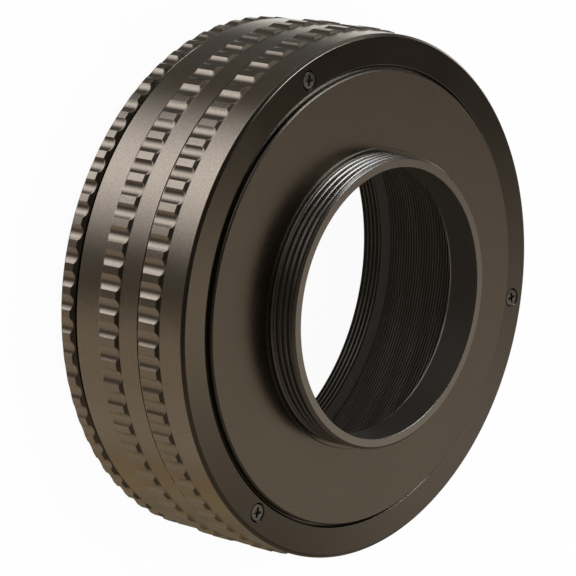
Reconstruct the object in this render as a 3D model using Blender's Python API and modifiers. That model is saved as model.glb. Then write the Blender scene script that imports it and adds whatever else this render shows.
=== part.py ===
"""Macro extension tube with a double helicoid, modelled collapsed.

Units are metres and +Z is up. The tube stands on its rear face at z = 0, and
its optical axis is Z, which is also the axis of every slide and turn. From the
rear forwards the outside shows a scalloped rear ring, an open gap, the focus
ring with its scalloped band, a hairline seam, and the front ring with a third
scalloped band. The threaded lens neck stands on a plate inside the front ring.

Inside, four bodies nest in one another:
  rear      rear ring, rear thread ring and rear barrel, which stay still
  guide     a ring with three straight keys, which rises without turning
  focus     outer ring, sleeve, drive nut and stop pin, which rise and turn
  front     front barrel, front ring, lens plate and cover screws, which rise
The sleeve rides a right-hand thread on the rear barrel, and the drive nut
drives a left-hand thread on the front barrel, so each turn lifts the guide
once and the front twice as far.
"""

import math

import bmesh
import bpy
from mathutils import Matrix, Vector

MM = 0.001

# Clearances between the pieces
SEAT_GAP = 0.3 * MM
RUN_GAP = 0.3 * MM

# Lengths along the axis, from the rear face forwards
REAR_RING_LENGTH = 3.43 * MM
OPEN_GAP = 0.85 * MM
REAR_BAND_LENGTH = 4.17 * MM
FOCUS_KNURL_LENGTH = 3.93 * MM
MIDDLE_BAND_LENGTH = 3.37 * MM
FRONT_KNURL_LENGTH = 3.9 * MM
FRONT_BAND_LENGTH = 4.3 * MM
PLATE_RISE = 0.75 * MM
NECK_LENGTH = 4.45 * MM

# Radii and walls, from the light path outwards
BARREL_BORE_RADIUS = 30.0 * MM
FRONT_BARREL_WALL = 2.2 * MM
REAR_BARREL_WALL = 1.8 * MM
SLEEVE_WALL = 1.4 * MM
SHELL_WALL = 1.45 * MM

# Scalloped grip bands
FLUTE_COUNT = 72
KNURL_HEIGHT = 0.42 * MM
REAR_KNURL_DROP = 0.42 * MM
FLUTE_DEPTH = 0.4 * MM
FLUTE_WIDTH = 2.2 * MM
FLUTE_SIDES = 16
KNURL_CHAMFER = 0.4 * MM
REAR_EDGE_BEVEL = 1.3 * MM
REAR_KNURL_PHASE = math.radians(1.2)

# Rear thread ring and the flanges that hold it
THREAD_RING_WALL = 3.6 * MM
REAR_THREAD_LENGTH = 3.6 * MM
THREAD_RING_LENGTH = 4.3 * MM
THREAD_RING_BEVEL = 1.4 * MM
REAR_FLANGE_THICKNESS = 1.3 * MM
FOOT_THICKNESS = 1.1 * MM

# Front ring, lens plate and threaded neck
FRONT_EDGE_BEVEL = 0.42 * MM
COVER_THICKNESS = 1.1 * MM
BARREL_FLANGE_THICKNESS = 0.95 * MM
PLATE_CLEARANCE = 0.52 * MM
PLATE_RIM_OVERHANG = 0.5 * MM
PLATE_THICKNESS = 0.8 * MM
PLATE_EDGE_BEVEL = 0.2 * MM
PLATE_STEP_DEPTH = 1.05 * MM
PLATE_RIM_WIDTH = 2.5 * MM
NECK_BORE_RADIUS = 19.4 * MM
NECK_WALL = 1.6 * MM
NECK_END_BEVEL = 0.25 * MM
NECK_FOOT_WIDTH = 0.6 * MM
NECK_FOOT_HEIGHT = 0.25 * MM

# Guide ring, straight keys, drive nut and stop
GUIDE_RING_THICKNESS = 0.8 * MM
GUIDE_RING_OVERLAP = 0.4 * MM
KEY_COUNT = 3
KEY_WIDTH = 5.0 * MM
KEY_INNER_DEPTH = 1.0 * MM
KEY_OUTER_DEPTH = 0.8 * MM
KEY_AZIMUTH = math.radians(37.5)
NUT_THICKNESS = 1.5 * MM
NUT_HUB_WALL = 0.8 * MM
STOP_TURN = math.radians(300.0)
STOP_LUG_HEIGHT = 0.9 * MM
STOP_PIN_RADIUS = 0.4 * MM
STOP_AZIMUTH = math.radians(-90.0)

# Countersunk screws, three in the front ring and three in the rear ring
SCREW_COUNT = 3
SCREW_HEAD_RADIUS = 1.2 * MM
SCREW_HEAD_HEIGHT = 0.6 * MM
SCREW_SHANK_RADIUS = 0.7 * MM
SCREW_SINK = 0.05 * MM
COVER_SCREW_LAND = 0.2 * MM
COVER_SCREW_AZIMUTH = math.radians(-22.5)
REAR_SCREW_LAND = 0.6 * MM
REAR_SCREW_AZIMUTH = math.radians(37.5)

# Facets round the axis, and the edge angle above which shading stays sharp
OUTER_STEPS = FLUTE_COUNT
INNER_STEPS = 45
PLATE_STEPS = 56
SCREW_STEPS = 12
ARC_STEPS = 36
SHARP_ANGLE = math.radians(25.0)
CUT_MARGIN = 1.0 * MM

# Heights that follow from the lengths
FOCUS_REAR = REAR_RING_LENGTH + OPEN_GAP
FOCUS_KNURL_REAR = FOCUS_REAR + REAR_BAND_LENGTH
FOCUS_KNURL_FRONT = FOCUS_KNURL_REAR + FOCUS_KNURL_LENGTH
FOCUS_FRONT = FOCUS_KNURL_FRONT + MIDDLE_BAND_LENGTH
FRONT_RING_REAR = FOCUS_FRONT + RUN_GAP
FRONT_KNURL_FRONT = FRONT_RING_REAR + FRONT_KNURL_LENGTH
FRONT_FACE = FRONT_KNURL_FRONT + FRONT_BAND_LENGTH
PLATE_FACE = FRONT_FACE + PLATE_RISE
NECK_FACE = PLATE_FACE + NECK_LENGTH

FOOT_REAR = REAR_FLANGE_THICKNESS + SEAT_GAP
FOOT_FRONT = FOOT_REAR + FOOT_THICKNESS
SLEEVE_REAR = FOOT_FRONT + RUN_GAP
FRONT_BARREL_REAR = THREAD_RING_LENGTH + RUN_GAP

COVER_UNDERSIDE = FRONT_FACE - COVER_THICKNESS
BARREL_FRONT = COVER_UNDERSIDE - SEAT_GAP
BARREL_FLANGE_REAR = BARREL_FRONT - BARREL_FLANGE_THICKNESS
NUT_FRONT = BARREL_FLANGE_REAR - RUN_GAP
NUT_UNDERSIDE = NUT_FRONT - NUT_THICKNESS
GUIDE_FRONT = NUT_UNDERSIDE - RUN_GAP - STOP_LUG_HEIGHT
GUIDE_REAR = GUIDE_FRONT - GUIDE_RING_THICKNESS
REAR_BARREL_FRONT = GUIDE_REAR - RUN_GAP

# Radii that follow from the walls
FRONT_BARREL_RADIUS = BARREL_BORE_RADIUS + FRONT_BARREL_WALL
REAR_BARREL_BORE = FRONT_BARREL_RADIUS + RUN_GAP
REAR_BARREL_RADIUS = REAR_BARREL_BORE + REAR_BARREL_WALL
SLEEVE_BORE = REAR_BARREL_RADIUS + RUN_GAP
SLEEVE_RADIUS = SLEEVE_BORE + SLEEVE_WALL
SHELL_BORE = SLEEVE_RADIUS + RUN_GAP
BAND_RADIUS = SHELL_BORE + SHELL_WALL
KNURL_RADIUS = BAND_RADIUS + KNURL_HEIGHT
REAR_KNURL_RADIUS = KNURL_RADIUS - REAR_KNURL_DROP

THREAD_RING_RADIUS = REAR_BARREL_BORE - SEAT_GAP
REAR_THREAD_RADIUS = THREAD_RING_RADIUS - THREAD_RING_WALL

GUIDE_RADIUS = SLEEVE_BORE + GUIDE_RING_OVERLAP
COUNTERBORE_RADIUS = GUIDE_RADIUS + RUN_GAP
NUT_HUB_RADIUS = REAR_BARREL_BORE + NUT_HUB_WALL
LUG_INNER_RADIUS = NUT_HUB_RADIUS + RUN_GAP
STOP_PIN_CIRCLE = (NUT_HUB_RADIUS + GUIDE_RADIUS) / 2.0

PLATE_RIM_RADIUS = REAR_BARREL_BORE + PLATE_RIM_OVERHANG
COVER_BORE_RADIUS = PLATE_RIM_RADIUS + SEAT_GAP
PLATE_RADIUS = COVER_BORE_RADIUS - PLATE_CLEARANCE
NECK_RADIUS = NECK_BORE_RADIUS + NECK_WALL

SCREW_SEAT_RADIUS = SCREW_HEAD_RADIUS + SEAT_GAP
COVER_SCREW_CIRCLE = COVER_BORE_RADIUS + COVER_SCREW_LAND + SCREW_SEAT_RADIUS
REAR_SCREW_CIRCLE = REAR_BARREL_BORE + REAR_SCREW_LAND + SCREW_SEAT_RADIUS

# Colour as linear RGB, roughness and metallic value of each finish
SATIN_BLACK = ((0.042, 0.036, 0.030), 0.42, 0.55)
MATT_BLACK = ((0.030, 0.026, 0.022), 0.60, 0.40)
THREAD_BLACK = ((0.050, 0.042, 0.034), 0.36, 0.65)
KEY_BRASS = ((0.52, 0.38, 0.14), 0.34, 1.0)
SCREW_BLACK = ((0.035, 0.031, 0.027), 0.30, 0.70)
PIN_STEEL = ((0.48, 0.47, 0.45), 0.28, 1.0)


def clear_scene():
    """Remove every object that the open scene already holds."""
    for old in list(bpy.data.objects):
        bpy.data.objects.remove(old, do_unlink=True)


def new_collection(name):
    """Return a new collection linked under the scene."""
    collection = bpy.data.collections.new(name)
    bpy.context.scene.collection.children.link(collection)
    return collection


def finish_material(name, finish):
    """Return a Principled material with a finish's colour, roughness and metal."""
    colour, roughness, metallic = finish
    material = bpy.data.materials.new(name)
    material.use_nodes = True
    shader = material.node_tree.nodes["Principled BSDF"]
    shader.inputs["Base Color"].default_value = (*colour, 1.0)
    shader.inputs["Roughness"].default_value = roughness
    shader.inputs["Metallic"].default_value = metallic
    material.diffuse_color = (*colour, 1.0)
    return material


def turned(name, profile, steps, collection):
    """Return a solid of revolution from (radius, height) points.

    The points run down the outer side from top to bottom and then back up the
    inner side, or to the axis, so that the faces point outwards.
    """
    mesh = bpy.data.meshes.new(name)
    corners = [(radius, 0.0, height) for radius, height in profile]
    on_axis = profile[0][0] == 0.0
    edges = [(i, i + 1) for i in range(len(corners) - 1)]
    if not on_axis:
        edges.append((len(corners) - 1, 0))
    mesh.from_pydata(corners, edges, [])
    piece = bpy.data.objects.new(name, mesh)
    collection.objects.link(piece)
    screw = piece.modifiers.new("Turn", "SCREW")
    screw.steps = steps
    screw.render_steps = steps
    screw.use_merge_vertices = True
    screw.merge_threshold = 0.000001
    return piece


def box(name, low, high, azimuth, collection):
    """Return a box between two corners, turned about Z by an azimuth."""
    size = Vector(high) - Vector(low)
    centre = (Vector(high) + Vector(low)) / 2.0
    mesh = bpy.data.meshes.new(name)
    shape = bmesh.new()
    placing = Matrix.Translation(centre) @ Matrix.Diagonal((*size, 1.0))
    bmesh.ops.create_cube(shape, size=1.0, matrix=placing)
    shape.to_mesh(mesh)
    shape.free()
    piece = bpy.data.objects.new(name, mesh)
    piece.rotation_euler.z = azimuth
    collection.objects.link(piece)
    return piece


def slab(name, outline, thickness, collection):
    """Return a flat outline, given in its own XY plane, as a solid slab."""
    curve = bpy.data.curves.new(name, "CURVE")
    curve.dimensions = "2D"
    curve.fill_mode = "BOTH"
    curve.extrude = thickness / 2.0
    spline = curve.splines.new("POLY")
    spline.points.add(len(outline) - 1)
    for point, (x, y) in zip(spline.points, outline):
        point.co = (x, y, 0.0, 1.0)
    spline.use_cyclic_u = True
    flat = bpy.data.objects.new(name + "_outline", curve)
    collection.objects.link(flat)
    graph = bpy.context.evaluated_depsgraph_get()
    mesh = bpy.data.meshes.new_from_object(flat.evaluated_get(graph))
    mesh.name = name
    bpy.data.objects.remove(flat, do_unlink=True)
    shape = bmesh.new()
    shape.from_mesh(mesh)
    bmesh.ops.remove_doubles(shape, verts=shape.verts, dist=0.000001)
    bmesh.ops.recalc_face_normals(shape, faces=shape.faces)
    shape.to_mesh(mesh)
    shape.free()
    piece = bpy.data.objects.new(name, mesh)
    collection.objects.link(piece)
    return piece


def cut(piece, cutter, operation="DIFFERENCE"):
    """Add a Boolean modifier to a piece and mark the other object a cutter."""
    cutter.hide_render = True
    cutter.display_type = "WIRE"
    boolean = piece.modifiers.new(cutter.name, "BOOLEAN")
    boolean.operation = operation
    boolean.solver = "EXACT"
    boolean.object = cutter


def finish(piece, look, parent):
    """Settle a piece's modifiers, shade it, give it its material and body."""
    graph = bpy.context.evaluated_depsgraph_get()
    mesh = bpy.data.meshes.new_from_object(piece.evaluated_get(graph))
    mesh.name = piece.name
    piece.modifiers.clear()
    piece.data = mesh
    mesh.shade_smooth()
    mesh.set_sharp_from_angle(angle=SHARP_ANGLE)
    mesh.materials.clear()
    mesh.materials.append(finish_material(piece.name, look))
    piece.parent = parent


def around(count, first):
    """Return the azimuths of evenly spaced copies, from the first one on."""
    return [first + 2.0 * math.pi * i / count for i in range(count)]


def flute_cutter(name, crest, low, high, phase, cutters):
    """Return the round cutters that leave the lands of one grip band at its crest.

    A cutter's radius follows from the flute's width and depth as the circle
    through both edges of the flute and its floor.
    """
    half_width = FLUTE_WIDTH / 2.0
    radius = (half_width ** 2 + FLUTE_DEPTH ** 2) / (2.0 * FLUTE_DEPTH)
    reach = crest - FLUTE_DEPTH + radius
    mesh = bpy.data.meshes.new(name)
    shape = bmesh.new()
    half_step = math.pi / FLUTE_COUNT
    for azimuth in around(FLUTE_COUNT, phase + half_step):
        placing = (
            Matrix.Rotation(azimuth, 4, "Z")
            @ Matrix.Translation((reach, 0.0, (low + high) / 2.0))
        )
        bmesh.ops.create_cone(
            shape,
            cap_ends=True,
            segments=FLUTE_SIDES,
            radius1=radius,
            radius2=radius,
            depth=high - low,
            matrix=placing,
        )
    shape.to_mesh(mesh)
    shape.free()
    cutter = bpy.data.objects.new(name, mesh)
    cutters.objects.link(cutter)
    return cutter


def knurled_side(front, rear):
    """Return the profile of a raised grip band between two smooth heights."""
    return [
        (BAND_RADIUS, front),
        (KNURL_RADIUS, front - KNURL_CHAMFER),
        (KNURL_RADIUS, rear + KNURL_CHAMFER),
        (BAND_RADIUS, rear),
    ]


def screw_profile(top, tip, gap):
    """Return a countersunk screw's profile, widened all round by a gap."""
    head = SCREW_HEAD_RADIUS + gap
    shank = SCREW_SHANK_RADIUS + gap
    neck = top - SCREW_HEAD_HEIGHT
    return [(0.0, top), (head, top), (shank, neck), (shank, tip), (0.0, tip)]


def place_screws(stem, top, tip, circle, first, flipped, holders, parent, parts, cutters):
    """Make three screws and cut their seats into the pieces that hold them.

    A flipped screw points its head down: its profile is built upside up and
    turned over about the horizontal axis of its own centre.
    """
    middle = (top + tip) / 2.0
    reach = (top - tip) / 2.0
    for number, azimuth in enumerate(around(SCREW_COUNT, first), start=1):
        place = Vector((circle * math.cos(azimuth), circle * math.sin(azimuth), middle))
        name = f"{stem}_{number}"
        screw = turned(name, screw_profile(reach, -reach, 0.0), SCREW_STEPS, parts)
        body = screw_profile(reach, -reach, SEAT_GAP)
        body[-2] = (body[-2][0], -reach - SEAT_GAP)
        body[-1] = (0.0, -reach - SEAT_GAP)
        mouth = [(0.0, reach + CUT_MARGIN), (body[1][0], reach + CUT_MARGIN)]
        seat = turned(name + "_seat", mouth + body[1:], SCREW_STEPS, cutters)
        for thing in (screw, seat):
            thing.location = place
            if flipped:
                thing.rotation_euler.x = math.pi
        for holder in holders:
            cut(holder, seat)
        finish(screw, SCREW_BLACK, parent)


def make_rear_ring(parts, cutters):
    """Turn the scalloped rear ring with its inward rear flange."""
    side = [
        (SHELL_BORE, REAR_RING_LENGTH),
        (REAR_KNURL_RADIUS - KNURL_CHAMFER, REAR_RING_LENGTH),
        (REAR_KNURL_RADIUS, REAR_RING_LENGTH - KNURL_CHAMFER),
        (REAR_KNURL_RADIUS, REAR_EDGE_BEVEL),
        (REAR_KNURL_RADIUS - REAR_EDGE_BEVEL, 0.0),
        (REAR_BARREL_BORE, 0.0),
        (REAR_BARREL_BORE, REAR_FLANGE_THICKNESS),
        (SHELL_BORE, REAR_FLANGE_THICKNESS),
    ]
    ring = turned("rear_grip_ring", side, OUTER_STEPS, parts)
    ring.rotation_euler.z = REAR_KNURL_PHASE
    top = REAR_RING_LENGTH + CUT_MARGIN
    crest = REAR_KNURL_RADIUS
    cut(ring, flute_cutter("rear_flutes", crest, -CUT_MARGIN, top, REAR_KNURL_PHASE, cutters))
    return ring


def make_thread_ring(parts):
    """Turn the rear thread ring, whose inner front edge is beveled."""
    side = [
        (THREAD_RING_RADIUS, THREAD_RING_LENGTH),
        (THREAD_RING_RADIUS, 0.0),
        (REAR_THREAD_RADIUS, 0.0),
        (REAR_THREAD_RADIUS, REAR_THREAD_LENGTH),
        (REAR_THREAD_RADIUS + THREAD_RING_BEVEL, THREAD_RING_LENGTH),
    ]
    return turned("rear_mount_ring", side, INNER_STEPS, parts)


def make_rear_barrel(parts):
    """Turn the rear barrel with the foot flange that the rear ring covers."""
    side = [
        (REAR_BARREL_RADIUS, REAR_BARREL_FRONT),
        (REAR_BARREL_RADIUS, FOOT_FRONT),
        (SLEEVE_RADIUS, FOOT_FRONT),
        (SLEEVE_RADIUS, FOOT_REAR),
        (REAR_BARREL_BORE, FOOT_REAR),
        (REAR_BARREL_BORE, REAR_BARREL_FRONT),
    ]
    return turned("rear_barrel", side, INNER_STEPS, parts)


def make_front_barrel(parts):
    """Turn the front barrel, whose top flange takes the cover screws."""
    side = [
        (SLEEVE_RADIUS, BARREL_FRONT),
        (SLEEVE_RADIUS, BARREL_FLANGE_REAR),
        (FRONT_BARREL_RADIUS, BARREL_FLANGE_REAR),
        (FRONT_BARREL_RADIUS, FRONT_BARREL_REAR),
        (BARREL_BORE_RADIUS, FRONT_BARREL_REAR),
        (BARREL_BORE_RADIUS, BARREL_FRONT),
    ]
    return turned("front_barrel", side, INNER_STEPS, parts)


def make_focus_ring(parts, cutters):
    """Turn the focus ring: two smooth bands with the grip band between."""
    side = [(SHELL_BORE, FOCUS_FRONT), (BAND_RADIUS, FOCUS_FRONT)]
    side += knurled_side(FOCUS_KNURL_FRONT, FOCUS_KNURL_REAR)
    side += [(BAND_RADIUS, FOCUS_REAR), (SHELL_BORE, FOCUS_REAR)]
    ring = turned("focus_ring", side, OUTER_STEPS, parts)
    crest = KNURL_RADIUS
    cut(ring, flute_cutter("focus_flutes", crest, FOCUS_REAR, FOCUS_FRONT, 0.0, cutters))
    return ring


def make_focus_sleeve(parts):
    """Turn the sleeve under the focus ring, counterbored for ring and nut."""
    side = [
        (SLEEVE_RADIUS, NUT_FRONT),
        (SLEEVE_RADIUS, SLEEVE_REAR),
        (SLEEVE_BORE, SLEEVE_REAR),
        (SLEEVE_BORE, REAR_BARREL_FRONT),
        (COUNTERBORE_RADIUS, REAR_BARREL_FRONT),
        (COUNTERBORE_RADIUS, NUT_FRONT),
    ]
    return turned("focus_sleeve", side, INNER_STEPS, parts)


def make_drive_nut(parts):
    """Turn the drive nut; its hub runs on the guide ring, inside the lug."""
    hub_rear = GUIDE_FRONT + RUN_GAP
    side = [
        (GUIDE_RADIUS, NUT_FRONT),
        (GUIDE_RADIUS, NUT_UNDERSIDE),
        (NUT_HUB_RADIUS, NUT_UNDERSIDE),
        (NUT_HUB_RADIUS, hub_rear),
        (REAR_BARREL_BORE, hub_rear),
        (REAR_BARREL_BORE, NUT_FRONT),
    ]
    return turned("drive_nut", side, INNER_STEPS, parts)


def make_stop_pin(nut, parts, cutters):
    """Make the stop pin and bore its hole through the drive nut."""
    low = GUIDE_FRONT + RUN_GAP
    pin = turned(
        "stop_pin",
        [(0.0, NUT_FRONT), (STOP_PIN_RADIUS, NUT_FRONT), (STOP_PIN_RADIUS, low), (0.0, low)],
        SCREW_STEPS,
        parts,
    )
    hole_radius = STOP_PIN_RADIUS + SEAT_GAP
    top = NUT_FRONT + CUT_MARGIN
    hole = turned(
        "stop_pin_hole",
        [(0.0, top), (hole_radius, top), (hole_radius, low), (0.0, low)],
        SCREW_STEPS,
        cutters,
    )
    for thing in (pin, hole):
        thing.location.x = STOP_PIN_CIRCLE * math.cos(STOP_AZIMUTH)
        thing.location.y = STOP_PIN_CIRCLE * math.sin(STOP_AZIMUTH)
    cut(nut, hole)
    return pin


def make_guide_ring(parts, cutters):
    """Turn the guide ring and mill away the track that the stop pin runs in.

    The track is as long as the focus turn plus the pin's width and a gap at
    each end, so what is left of the raised rim is the stop lug.
    """
    lug_top = GUIDE_FRONT + STOP_LUG_HEIGHT
    side = [
        (GUIDE_RADIUS, lug_top),
        (GUIDE_RADIUS, GUIDE_REAR),
        (REAR_BARREL_BORE, GUIDE_REAR),
        (REAR_BARREL_BORE, GUIDE_FRONT),
        (LUG_INNER_RADIUS, GUIDE_FRONT),
        (LUG_INNER_RADIUS, lug_top),
    ]
    ring = turned("guide_ring", side, INNER_STEPS, parts)
    pin_half_angle = (STOP_PIN_RADIUS + RUN_GAP) / STOP_PIN_CIRCLE
    track_start = STOP_AZIMUTH - pin_half_angle
    track_turn = STOP_TURN + 2.0 * pin_half_angle
    angles = [track_start + track_turn * i / ARC_STEPS for i in range(ARC_STEPS + 1)]
    inner = LUG_INNER_RADIUS - SEAT_GAP / 2.0
    outer = GUIDE_RADIUS + CUT_MARGIN
    outline = [(outer * math.cos(a), outer * math.sin(a)) for a in angles]
    outline += [(inner * math.cos(a), inner * math.sin(a)) for a in reversed(angles)]
    track = slab("stop_track", outline, 2.0 * STOP_LUG_HEIGHT, cutters)
    track.location.z = GUIDE_FRONT + STOP_LUG_HEIGHT
    cut(ring, track)
    return ring


def make_keys(ring, front_barrel, rear_barrel, parent, parts, cutters):
    """Make the straight keys and mill their slots into what they guide.

    A key is a stepped bar. Its thick upper part fills a slot in each barrel,
    and its thin lower end passes between the thread ring and the rear barrel.
    """
    inner = FRONT_BARREL_RADIUS - KEY_INNER_DEPTH
    outer = REAR_BARREL_BORE + KEY_OUTER_DEPTH
    step = FRONT_BARREL_REAR + RUN_GAP
    outline = [
        (REAR_BARREL_BORE, SLEEVE_REAR),
        (outer, SLEEVE_REAR),
        (outer, GUIDE_FRONT),
        (inner, GUIDE_FRONT),
        (inner, step),
        (REAR_BARREL_BORE, step),
    ]
    half = KEY_WIDTH / 2.0 + RUN_GAP
    upright = Matrix.Rotation(math.pi / 2.0, 4, "X")
    for number, azimuth in enumerate(around(KEY_COUNT, KEY_AZIMUTH), start=1):
        name = f"guide_key_{number}"
        key = slab(name, outline, KEY_WIDTH, parts)
        key.data.transform(upright)
        key.rotation_euler.z = azimuth
        ends = (
            (ring, GUIDE_REAR - CUT_MARGIN, GUIDE_FRONT + CUT_MARGIN / 10.0, inner, outer),
            (front_barrel, 0.0, BARREL_FLANGE_REAR - RUN_GAP, inner, outer),
            (rear_barrel, FOOT_FRONT, GUIDE_FRONT, inner, outer),
        )
        for holder, low, high, near, far in ends:
            slot = box(
                f"{holder.name}_slot_{number}",
                (near - RUN_GAP, -half, low),
                (far + RUN_GAP, half, high),
                azimuth,
                cutters,
            )
            cut(holder, slot)
        finish(key, KEY_BRASS, parent)


def make_front_ring(parts, cutters):
    """Turn the front ring: a grip band, a smooth band and the cover face."""
    side = [
        (COVER_BORE_RADIUS, FRONT_FACE),
        (BAND_RADIUS - FRONT_EDGE_BEVEL, FRONT_FACE),
        (BAND_RADIUS, FRONT_FACE - FRONT_EDGE_BEVEL),
    ]
    side += knurled_side(FRONT_KNURL_FRONT, FRONT_RING_REAR)
    side += [
        (SHELL_BORE, FRONT_RING_REAR),
        (SHELL_BORE, COVER_UNDERSIDE),
        (COVER_BORE_RADIUS, COVER_UNDERSIDE),
    ]
    ring = turned("front_grip_ring", side, OUTER_STEPS, parts)
    low = FRONT_RING_REAR - CUT_MARGIN
    top = FRONT_KNURL_FRONT + CUT_MARGIN
    cut(ring, flute_cutter("front_flutes", KNURL_RADIUS, low, top, 0.0, cutters))
    return ring


def make_mount_flange(parts):
    """Turn the lens plate with its rim below and the threaded neck above."""
    step = PLATE_FACE - PLATE_STEP_DEPTH
    neck_foot = NECK_RADIUS + NECK_FOOT_WIDTH
    rim_bore = PLATE_RIM_RADIUS - PLATE_RIM_WIDTH
    underside = PLATE_FACE - PLATE_THICKNESS
    side = [
        (NECK_BORE_RADIUS, NECK_FACE),
        (NECK_RADIUS - NECK_END_BEVEL, NECK_FACE),
        (NECK_RADIUS, NECK_FACE - NECK_END_BEVEL),
        (NECK_RADIUS, PLATE_FACE + NECK_FOOT_HEIGHT),
        (neck_foot, PLATE_FACE + NECK_FOOT_HEIGHT),
        (neck_foot, PLATE_FACE),
        (PLATE_RADIUS - PLATE_EDGE_BEVEL, PLATE_FACE),
        (PLATE_RADIUS, PLATE_FACE - PLATE_EDGE_BEVEL),
        (PLATE_RADIUS, step),
        (PLATE_RIM_RADIUS, step),
        (PLATE_RIM_RADIUS, COVER_UNDERSIDE),
        (rim_bore, COVER_UNDERSIDE),
        (rim_bore, underside),
        (NECK_BORE_RADIUS, underside),
    ]
    return turned("mount_flange", side, PLATE_STEPS, parts)


def main():
    """Build the tube's four bodies in one collection, cutters in another."""
    clear_scene()
    parts = new_collection("macro_extension_tube")
    cutters = new_collection("cutters")
    bodies = {}
    for name in ("rear_body", "guide_body", "focus_body", "front_body"):
        bodies[name] = bpy.data.objects.new(name, None)
        parts.objects.link(bodies[name])

    rear_ring = make_rear_ring(parts, cutters)
    thread_ring = make_thread_ring(parts)
    rear_barrel = make_rear_barrel(parts)
    guide_ring = make_guide_ring(parts, cutters)
    focus_ring = make_focus_ring(parts, cutters)
    focus_sleeve = make_focus_sleeve(parts)
    drive_nut = make_drive_nut(parts)
    stop_pin = make_stop_pin(drive_nut, parts, cutters)
    front_barrel = make_front_barrel(parts)
    front_ring = make_front_ring(parts, cutters)
    flange = make_mount_flange(parts)

    make_keys(guide_ring, front_barrel, rear_barrel, bodies["guide_body"], parts, cutters)
    place_screws(
        "cover_screw",
        FRONT_FACE - SCREW_SINK,
        BARREL_FLANGE_REAR + SCREW_SINK,
        COVER_SCREW_CIRCLE,
        COVER_SCREW_AZIMUTH,
        False,
        (front_ring, front_barrel),
        bodies["front_body"],
        parts,
        cutters,
    )
    place_screws(
        "rear_screw",
        FOOT_FRONT - SCREW_SINK,
        SCREW_SINK,
        REAR_SCREW_CIRCLE,
        REAR_SCREW_AZIMUTH,
        True,
        (rear_ring, rear_barrel),
        bodies["rear_body"],
        parts,
        cutters,
    )

    finish(rear_ring, SATIN_BLACK, bodies["rear_body"])
    finish(thread_ring, THREAD_BLACK, bodies["rear_body"])
    finish(rear_barrel, THREAD_BLACK, bodies["rear_body"])
    finish(guide_ring, MATT_BLACK, bodies["guide_body"])
    finish(focus_ring, SATIN_BLACK, bodies["focus_body"])
    finish(focus_sleeve, THREAD_BLACK, bodies["focus_body"])
    finish(drive_nut, THREAD_BLACK, bodies["focus_body"])
    finish(stop_pin, PIN_STEEL, bodies["focus_body"])
    finish(front_barrel, MATT_BLACK, bodies["front_body"])
    finish(front_ring, SATIN_BLACK, bodies["front_body"])
    finish(flange, SATIN_BLACK, bodies["front_body"])


main()
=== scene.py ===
"""Looks of a macro extension tube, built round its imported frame.

Units are metres and +Z is up along the optical axis. Every visible ring is
rebuilt as a fine surface over the solid that it stands for, and the inner
pieces that stay keep their solids and get a finish. Angles round the axis are
azimuths from +X towards +Y.
"""

import logging
import math
from dataclasses import dataclass, field
from enum import Enum
from typing import Callable, Optional, Sequence

import bmesh
import bpy
import numpy as np
from mathutils import Matrix, Vector


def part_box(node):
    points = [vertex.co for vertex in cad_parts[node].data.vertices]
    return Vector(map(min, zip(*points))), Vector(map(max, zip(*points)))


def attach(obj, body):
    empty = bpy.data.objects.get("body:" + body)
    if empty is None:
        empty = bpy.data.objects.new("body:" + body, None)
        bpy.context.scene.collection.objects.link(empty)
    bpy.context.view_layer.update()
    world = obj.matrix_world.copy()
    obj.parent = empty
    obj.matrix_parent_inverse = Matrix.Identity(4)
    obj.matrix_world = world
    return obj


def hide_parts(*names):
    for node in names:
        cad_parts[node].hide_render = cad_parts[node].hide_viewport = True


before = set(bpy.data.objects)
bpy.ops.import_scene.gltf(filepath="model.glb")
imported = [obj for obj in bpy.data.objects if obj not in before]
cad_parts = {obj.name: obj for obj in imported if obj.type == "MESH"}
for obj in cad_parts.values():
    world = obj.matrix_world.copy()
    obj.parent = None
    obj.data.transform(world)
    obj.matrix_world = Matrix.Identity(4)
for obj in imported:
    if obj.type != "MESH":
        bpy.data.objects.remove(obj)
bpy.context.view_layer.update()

MM = 0.001
HOLD = 1.2
SHARP_ANGLE = 28.0
ON_SIDE = 0.01 * MM
RUNNING_GAP = 0.3 * MM
EDGE_ROUNDING = 0.07 * MM
FINE_ROUNDING = 0.04 * MM

GRIP_HEIGHT = 0.42 * MM
GRIP_CHAMFER = 0.55 * MM
SHELL_WALL = 1.45 * MM

SCREW_HEAD_RADIUS = 1.2 * MM
SCREW_HEAD_HEIGHT = 0.6 * MM
SCREW_SHANK_RADIUS = 0.7 * MM
SEAT_CLEARANCE = 0.25 * MM
SEAT_DEPTH = 4.0 * MM
SEAT_MOUTH = 1.0 * MM

KEY_COUNT = 3
KEY_AZIMUTH = 37.5
SLOT_INNER_RADIUS = 30.9 * MM
SLOT_OUTER_RADIUS = 33.6 * MM
SLOT_WIDTH = 5.6 * MM

CLOUD_SCALE = 90.0
GRAIN_SCALE = 5200.0
SPECK_SCALE = 420.0
SPECK_PATCH_SCALE = 160.0
DUST_COLOUR = (0.32, 0.30, 0.27, 1.0)
WHITE = (1.0, 1.0, 1.0, 1.0)

Corners = Sequence[tuple[float, float]]
Given = Optional[dict]
LOG = logging.getLogger("extension_tube")


class Body(Enum):
    """The moving bodies that the pieces ride on."""

    REAR = "rear"
    GUIDE = "guide"
    FOCUS = "focus"
    FRONT = "front"


class Hand(Enum):
    """Which way a thread climbs, as the sign of its rise per turn."""

    RIGHT = 1.0
    LEFT = -1.0


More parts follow.
